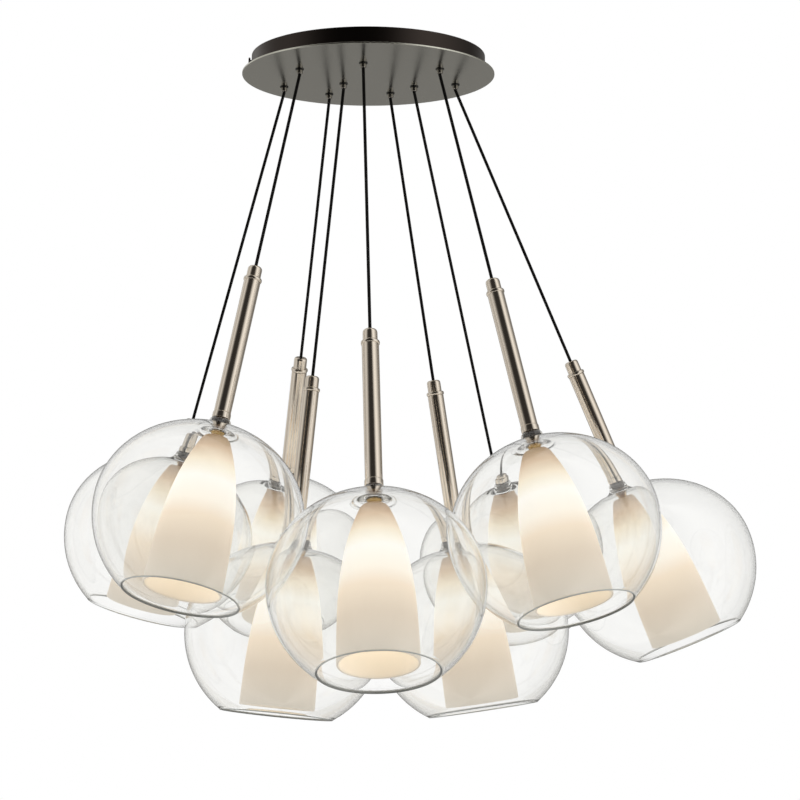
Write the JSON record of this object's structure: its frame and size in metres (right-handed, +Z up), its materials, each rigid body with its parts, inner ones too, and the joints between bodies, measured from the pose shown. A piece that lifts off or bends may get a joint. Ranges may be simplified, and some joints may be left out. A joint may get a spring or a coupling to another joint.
{
  "type": "cluster pendant",
  "caption": "Cluster pendant: a round ceiling canopy, with black cords that carry a close bunch of clear glass globes, each round a frosted bell-shaped shade on a slim metal stem.",
  "frame": {"origin": "centre of the canopy's ceiling face, which the ceiling closes", "axes": "+Z up into the ceiling, -Y towards the side seen first, +X to its right; the canopy's lock screw is at -X"},
  "size_m": [0.8918, 0.8942, 0.8418],
  "materials": {
    "canopy_pan": "satin gunmetal",
    "canopy_plate": "satin nickel",
    "zinc_steel": "zinc plated",
    "nickel": "nickel plated",
    "wiring": "white plastic block, black cord ends",
    "gland_nickel": "satin nickel nub, black ring",
    "cord_black": "matte black",
    "stem_nickel": "brushed nickel",
    "brass": "polished brass, white ceramic socket",
    "clear_glass": "clear, polished",
    "frosted_glass": "frosted, warm white",
    "bulb_glass": "frosted, lit"
  },
  "bodies": {
    "canopy": {"canopy_pan": "canopy_pan", "canopy_plate": "canopy_plate", "mounting_bar": "zinc_steel", "canopy_fasteners": "nickel", "canopy_wiring": "wiring", "cord_glands": "gland_nickel"},
    "pendant_1": {"cord_1": "cord_black", "stem_1": "stem_nickel", "lampholder_1": "brass", "globe_1": "clear_glass", "shade_1": "frosted_glass", "bulb_1": "bulb_glass"},
    "pendant_2": {"cord_2": "cord_black", "stem_2": "stem_nickel", "lampholder_2": "brass", "globe_2": "clear_glass", "shade_2": "frosted_glass", "bulb_2": "bulb_glass"},
    "pendant_3": {"cord_3": "cord_black", "stem_3": "stem_nickel", "lampholder_3": "brass", "globe_3": "clear_glass", "shade_3": "frosted_glass", "bulb_3": "bulb_glass"},
    "pendant_4": {"cord_4": "cord_black", "stem_4": "stem_nickel", "lampholder_4": "brass", "globe_4": "clear_glass", "shade_4": "frosted_glass", "bulb_4": "bulb_glass"},
    "pendant_5": {"cord_5": "cord_black", "stem_5": "stem_nickel", "lampholder_5": "brass", "globe_5": "clear_glass", "shade_5": "frosted_glass", "bulb_5": "bulb_glass"},
    "pendant_6": {"cord_6": "cord_black", "stem_6": "stem_nickel", "lampholder_6": "brass", "globe_6": "clear_glass", "shade_6": "frosted_glass", "bulb_6": "bulb_glass"},
    "pendant_7": {"cord_7": "cord_black", "stem_7": "stem_nickel", "lampholder_7": "brass", "globe_7": "clear_glass", "shade_7": "frosted_glass", "bulb_7": "bulb_glass"},
    "pendant_8": {"cord_8": "cord_black", "stem_8": "stem_nickel", "lampholder_8": "brass", "globe_8": "clear_glass", "shade_8": "frosted_glass", "bulb_8": "bulb_glass"},
    "pendant_9": {"cord_9": "cord_black", "stem_9": "stem_nickel", "lampholder_9": "brass", "globe_9": "clear_glass", "shade_9": "frosted_glass", "bulb_9": "bulb_glass"}
  },
  "joints": [
    {"name": "pendant_1_swing", "type": "hinge", "parent": "canopy", "child": "pendant_1", "pos_m": [-0.10948, 0.05796, -0.0315], "axis": [0.4695, 0.8829, 0], "range_deg": [0, 25]},
    {"name": "pendant_2_swing", "type": "hinge", "parent": "canopy", "child": "pendant_2", "pos_m": [-0.08694, -0.03381, -0.0315], "axis": [-0.682, 0.7314, 0], "range_deg": [0, 25]},
    {"name": "pendant_3_swing", "type": "hinge", "parent": "canopy", "child": "pendant_3", "pos_m": [-0.05152, 0.0966, -0.0315], "axis": [0.9511, 0.309, 0], "range_deg": [0, 25]},
    {"name": "pendant_4_twist", "type": "hinge", "parent": "canopy", "child": "pendant_4", "pos_m": [-0.0322, 0.04025, -0.0315], "axis": [0.1002, 0.05, 0.9937], "range_deg": [-90, 90]},
    {"name": "pendant_5_swing", "type": "hinge", "parent": "canopy", "child": "pendant_5", "pos_m": [-0.00644, -0.06601, -0.0315], "axis": [-0.9994, -0.0349, 0], "range_deg": [0, 25]},
    {"name": "pendant_6_twist", "type": "hinge", "parent": "canopy", "child": "pendant_6", "pos_m": [0.02898, 0.09016, -0.0315], "axis": [-0.1478, -0.0037, 0.989], "range_deg": [-90, 90]},
    {"name": "pendant_7_swing", "type": "hinge", "parent": "canopy", "child": "pendant_7", "pos_m": [0.05957, 0.05474, -0.0315], "axis": [0.848, -0.5299, 0], "range_deg": [0, 25]},
    {"name": "pendant_8_swing", "type": "hinge", "parent": "canopy", "child": "pendant_8", "pos_m": [0.09016, -0.03703, -0.0315], "axis": [-0.6691, -0.7431, 0], "range_deg": [0, 25]},
    {"name": "pendant_9_swing", "type": "hinge", "parent": "canopy", "child": "pendant_9", "pos_m": [0.1127, 0.04347, -0.0315], "axis": [0.1392, -0.9903, 0], "range_deg": [0, 25]}
  ]
}
